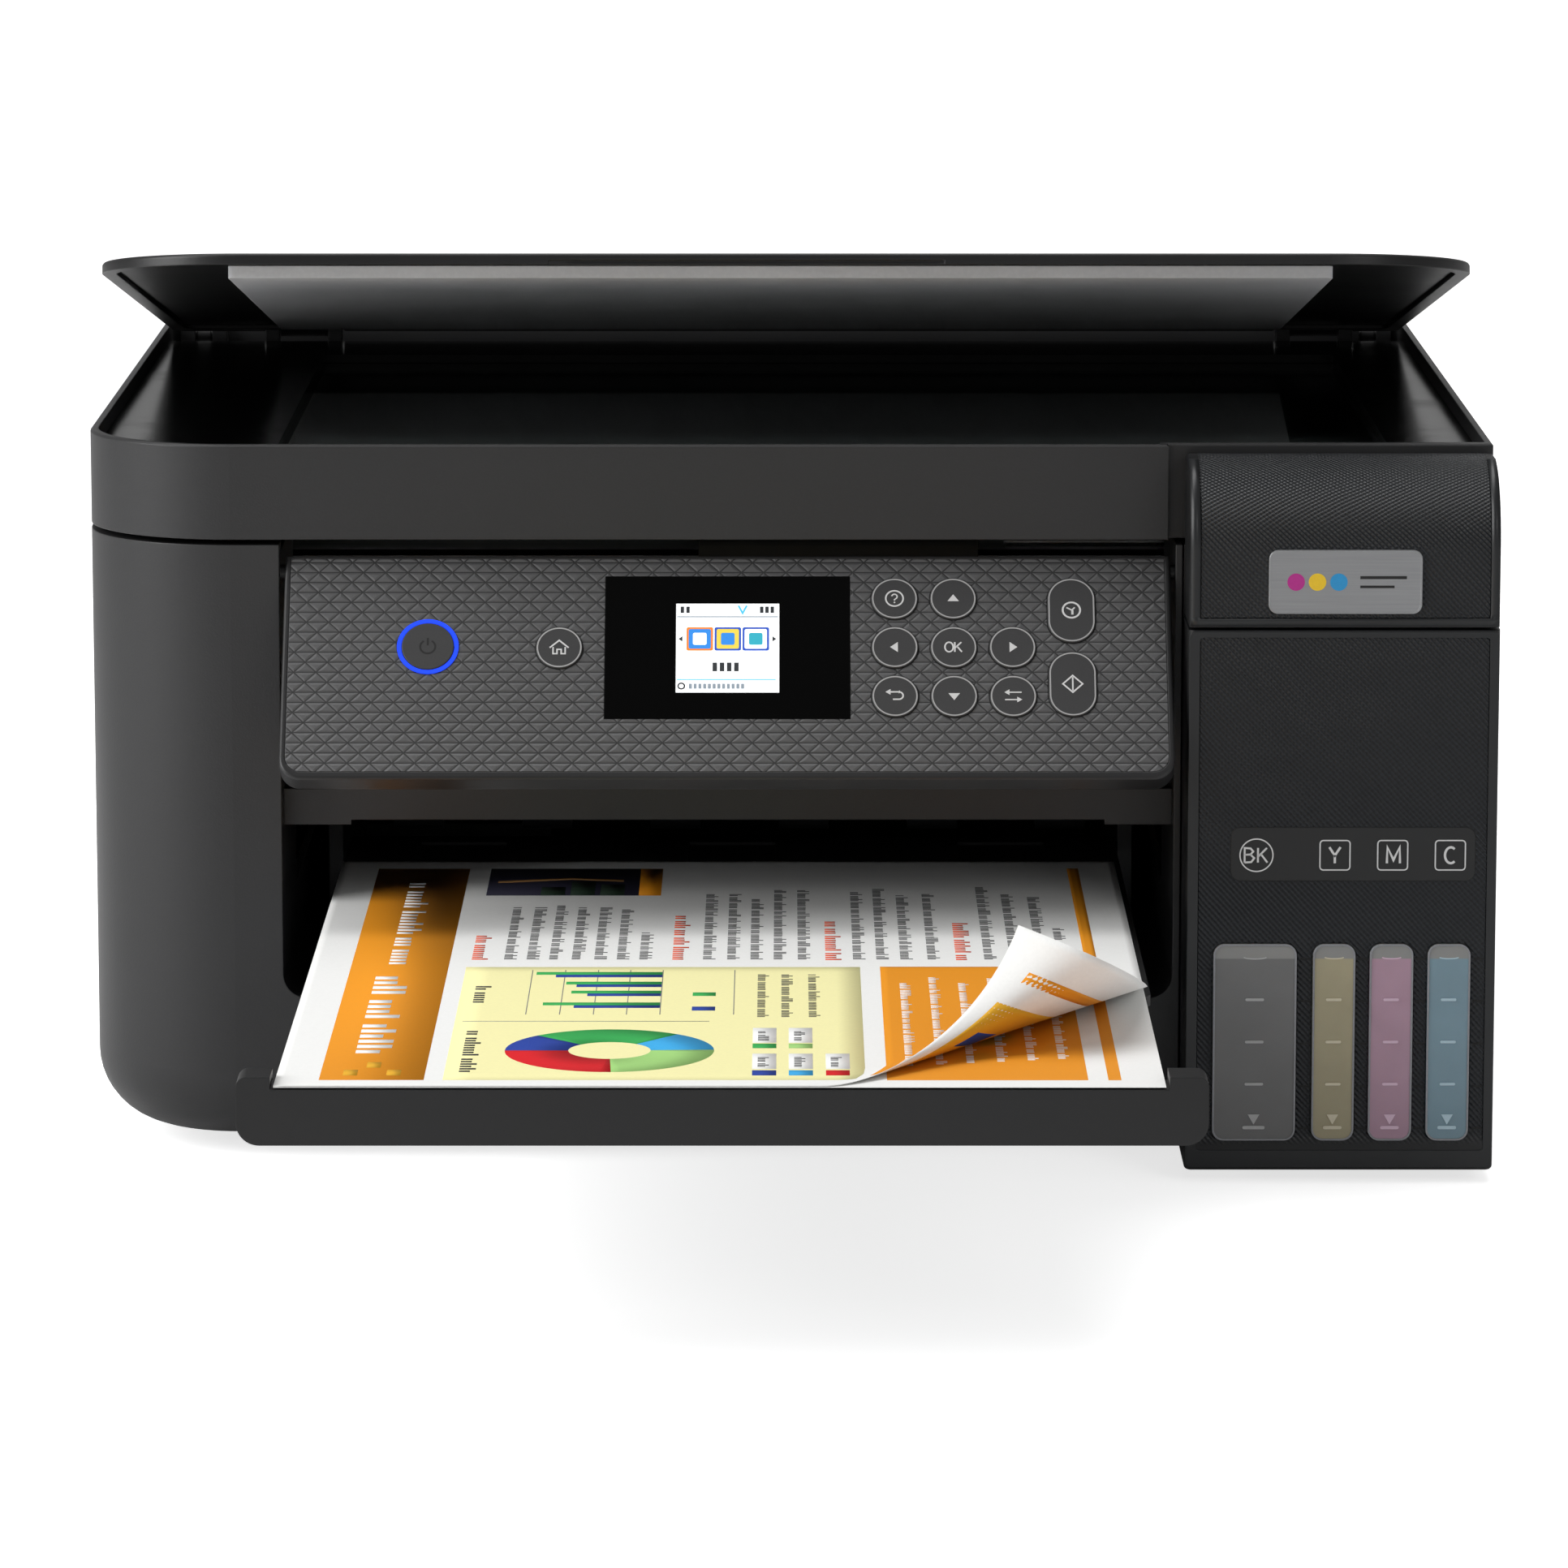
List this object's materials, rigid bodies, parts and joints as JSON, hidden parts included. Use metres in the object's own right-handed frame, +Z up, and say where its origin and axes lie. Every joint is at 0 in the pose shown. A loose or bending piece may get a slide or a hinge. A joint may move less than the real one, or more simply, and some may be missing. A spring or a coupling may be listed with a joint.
{
  "type": "inkjet printer",
  "caption": "Ink-tank inkjet printer with a flatbed scanner, its lid ajar, a tilting control panel, ink windows and a pulled-out tray holding printed sheets.",
  "frame": {"origin": "on the table, in the middle of the whole printer's footprint, with the tray pulled out and the lid ajar", "axes": "+X to the user's right, +Y from the user towards the printer's back, +Z up"},
  "size_m": [0.375, 0.556, 0.2439],
  "materials": {
    "case_black": "fine spark-eroded texture",
    "tank_black": "fine diagonal weave texture",
    "gloss_black": "polished",
    "lid_black": "fine texture",
    "mat_grey": "soft foam-backed sheet",
    "panel_black": "satin",
    "panel_pattern": "moulded triangle pattern, satin",
    "button_black": "satin, with a pale outline and symbol",
    "ring_blue": "lit light guide",
    "lcd": "lit display",
    "glass": "polished float glass",
    "tray_black": "satin",
    "paper": "printed office paper",
    "steel": "zinc-coated sheet and ground bar",
    "rubber_black": "matte",
    "mechanism_grey": "moulded",
    "roller_rubber": "ground",
    "board_green": "solder mask",
    "supply_black": "moulded",
    "tank_black_ink": "frosted, black ink behind",
    "tank_yellow_ink": "frosted, yellow ink behind",
    "tank_magenta_ink": "frosted, magenta ink behind",
    "tank_cyan_ink": "frosted, cyan ink behind",
    "cap_grey": "moulded",
    "tube_clear": "flexible tube",
    "badge_metal": "brushed foil plate"
  },
  "bodies": {
    "printer_body": {"lower_case": "case_black", "base_pan": "case_black", "rubber_feet": "rubber_black", "case_screws": "steel", "inner_crossbar": "case_black", "guide_frame": "steel", "guide_rod": "steel", "carriage_belt": "rubber_black", "carriage_motor": "steel", "platen": "mechanism_grey", "feed_motor": "steel", "feed_belt": "rubber_black", "capping_station": "mechanism_grey", "main_board": "board_green", "power_supply": "supply_black", "tank_housing": "tank_black", "tank_caps": "cap_grey", "ink_tubes": "tube_clear", "ink_tank_black": "tank_black_ink", "ink_tank_yellow": "tank_yellow_ink", "ink_tank_magenta": "tank_magenta_ink", "ink_tank_cyan": "tank_cyan_ink"},
    "scanner_unit": {"scanner_housing": "case_black", "scanner_bed_frame": "gloss_black", "scanner_glass": "glass", "scan_rod": "steel"},
    "scan_bar": {"scan_bar": "mechanism_grey"},
    "lid": {"lid_shell": "lid_black", "document_mat": "mat_grey", "lid_hinge_arms": "case_black"},
    "control_panel": {"panel_shell": "panel_black", "panel_face": "panel_pattern", "power_ring": "ring_blue", "screen_lens": "gloss_black", "lcd_screen": "lcd"},
    "tank_cover": {"tank_cover": "tank_black", "badge_plate": "badge_metal"},
    "output_tray": {"output_tray": "tray_black"},
    "tray_extension": {"tray_extension": "tray_black"},
    "printed_sheets": {"printed_sheets": "paper"},
    "paper_support": {"paper_support": "case_black"},
    "feeder_flap": {"feeder_flap": "case_black"},
    "print_carriage": {"print_carriage": "mechanism_grey", "print_head": "mechanism_grey"},
    "carriage_pulley": {"carriage_pulley": "mechanism_grey"},
    "feed_roller": {"feed_roller": "roller_rubber"},
    "exit_roller": {"exit_roller": "roller_rubber"},
    "feed_pulley": {"feed_pulley": "mechanism_grey"},
    "button_power": {"button_power": "button_black"},
    "button_home": {"button_home": "button_black"},
    "button_help": {"button_help": "button_black"},
    "button_up": {"button_up": "button_black"},
    "button_left": {"button_left": "button_black"},
    "button_ok": {"button_ok": "button_black"},
    "button_right": {"button_right": "button_black"},
    "button_back": {"button_back": "button_black"},
    "button_down": {"button_down": "button_black"},
    "button_settings": {"button_settings": "button_black"},
    "button_stop": {"button_stop": "button_black"},
    "button_start": {"button_start": "button_black"}
  },
  "joints": [
    {"name": "lid_hinge", "type": "hinge", "parent": "scanner_unit", "child": "lid", "pos_m": [0, 0.2443, 0.194], "axis": [-1, 0, 0], "range_deg": [-9.96, 50]},
    {"name": "scanner_lift", "type": "hinge", "parent": "printer_body", "child": "scanner_unit", "pos_m": [0, 0.255, 0.19], "axis": [-1, 0, 0], "range_deg": [0, 25]},
    {"name": "panel_tilt", "type": "hinge", "parent": "printer_body", "child": "control_panel", "pos_m": [0, -0.03721, 0.15939], "axis": [-1, 0, 0], "range_deg": [-37, 8]},
    {"name": "tank_cover_hinge", "type": "hinge", "parent": "printer_body", "child": "tank_cover", "pos_m": [0, -0.0475, 0.1875], "axis": [-1, 0, 0], "range_deg": [0, 60]},
    {"name": "tray_slide", "type": "slide", "parent": "printer_body", "child": "output_tray", "axis": [0, -1, 0], "range_m": [-0.118, 0]},
    {"name": "tray_extension_slide", "type": "slide", "parent": "output_tray", "child": "tray_extension", "axis": [0, -1, 0], "range_m": [-0.1035, 0]},
    {"name": "sheet_slide", "type": "slide", "parent": "printer_body", "child": "printed_sheets", "axis": [0, -1, 0], "range_m": [0, 0.12]},
    {"name": "paper_support_slide", "type": "slide", "parent": "printer_body", "child": "paper_support", "axis": [0, 0, 1], "range_m": [0, 0.11]},
    {"name": "feeder_flap_hinge", "type": "hinge", "parent": "printer_body", "child": "feeder_flap", "pos_m": [0, 0.2645, 0.1933], "axis": [1, 0, 0], "range_deg": [0, 80]},
    {"name": "carriage_slide", "type": "slide", "parent": "printer_body", "child": "print_carriage", "axis": [1, 0, 0], "range_m": [-0.118, 0.105]},
    {"name": "carriage_pulley_spin", "type": "hinge", "parent": "printer_body", "child": "carriage_pulley", "pos_m": [-0.156, 0.186, 0.14], "axis": [0, 1, 0], "range_deg": [-1100, 1100]},
    {"name": "feed_roller_spin", "type": "hinge", "parent": "printer_body", "child": "feed_roller", "pos_m": [0, 0.162, 0.078], "axis": [1, 0, 0], "continuous": true},
    {"name": "exit_roller_spin", "type": "hinge", "parent": "printer_body", "child": "exit_roller", "pos_m": [0, 0.065, 0.078], "axis": [1, 0, 0], "continuous": true},
    {"name": "feed_pulley_spin", "type": "hinge", "parent": "printer_body", "child": "feed_pulley", "pos_m": [-0.15, 0.107, 0.06], "axis": [1, 0, 0], "continuous": true},
    {"name": "scan_bar_slide", "type": "slide", "parent": "scanner_unit", "child": "scan_bar", "axis": [1, 0, 0], "range_m": [0, 0.298]},
    {"name": "power_press", "type": "slide", "parent": "control_panel", "child": "button_power", "axis": [0, 0.7986, -0.6018], "range_m": [0, 0.0008], "stiffness_N_per_m": 500},
    {"name": "home_press", "type": "slide", "parent": "control_panel", "child": "button_home", "axis": [0, 0.7986, -0.6018], "range_m": [0, 0.0008], "stiffness_N_per_m": 500},
    {"name": "help_press", "type": "slide", "parent": "control_panel", "child": "button_help", "axis": [0, 0.7986, -0.6018], "range_m": [0, 0.0008], "stiffness_N_per_m": 500},
    {"name": "up_press", "type": "slide", "parent": "control_panel", "child": "button_up", "axis": [0, 0.7986, -0.6018], "range_m": [0, 0.0008], "stiffness_N_per_m": 500},
    {"name": "left_press", "type": "slide", "parent": "control_panel", "child": "button_left", "axis": [0, 0.7986, -0.6018], "range_m": [0, 0.0008], "stiffness_N_per_m": 500},
    {"name": "ok_press", "type": "slide", "parent": "control_panel", "child": "button_ok", "axis": [0, 0.7986, -0.6018], "range_m": [0, 0.0008], "stiffness_N_per_m": 500},
    {"name": "right_press", "type": "slide", "parent": "control_panel", "child": "button_right", "axis": [0, 0.7986, -0.6018], "range_m": [0, 0.0008], "stiffness_N_per_m": 500},
    {"name": "back_press", "type": "slide", "parent": "control_panel", "child": "button_back", "axis": [0, 0.7986, -0.6018], "range_m": [0, 0.0008], "stiffness_N_per_m": 500},
    {"name": "down_press", "type": "slide", "parent": "control_panel", "child": "button_down", "axis": [0, 0.7986, -0.6018], "range_m": [0, 0.0008], "stiffness_N_per_m": 500},
    {"name": "settings_press", "type": "slide", "parent": "control_panel", "child": "button_settings", "axis": [0, 0.7986, -0.6018], "range_m": [0, 0.0008], "stiffness_N_per_m": 500},
    {"name": "stop_press", "type": "slide", "parent": "control_panel", "child": "button_stop", "axis": [0, 0.7986, -0.6018], "range_m": [0, 0.0008], "stiffness_N_per_m": 500},
    {"name": "start_press", "type": "slide", "parent": "control_panel", "child": "button_start", "axis": [0, 0.7986, -0.6018], "range_m": [0, 0.0008], "stiffness_N_per_m": 500}
  ],
  "couplings": [
    {"joint": "carriage_pulley_spin", "follows": "carriage_slide", "rad_per_m": 144.93},
    {"joint": "exit_roller_spin", "follows": "feed_roller_spin", "ratio": 1.1},
    {"joint": "feed_pulley_spin", "follows": "feed_roller_spin", "ratio": 2.739}
  ]
}
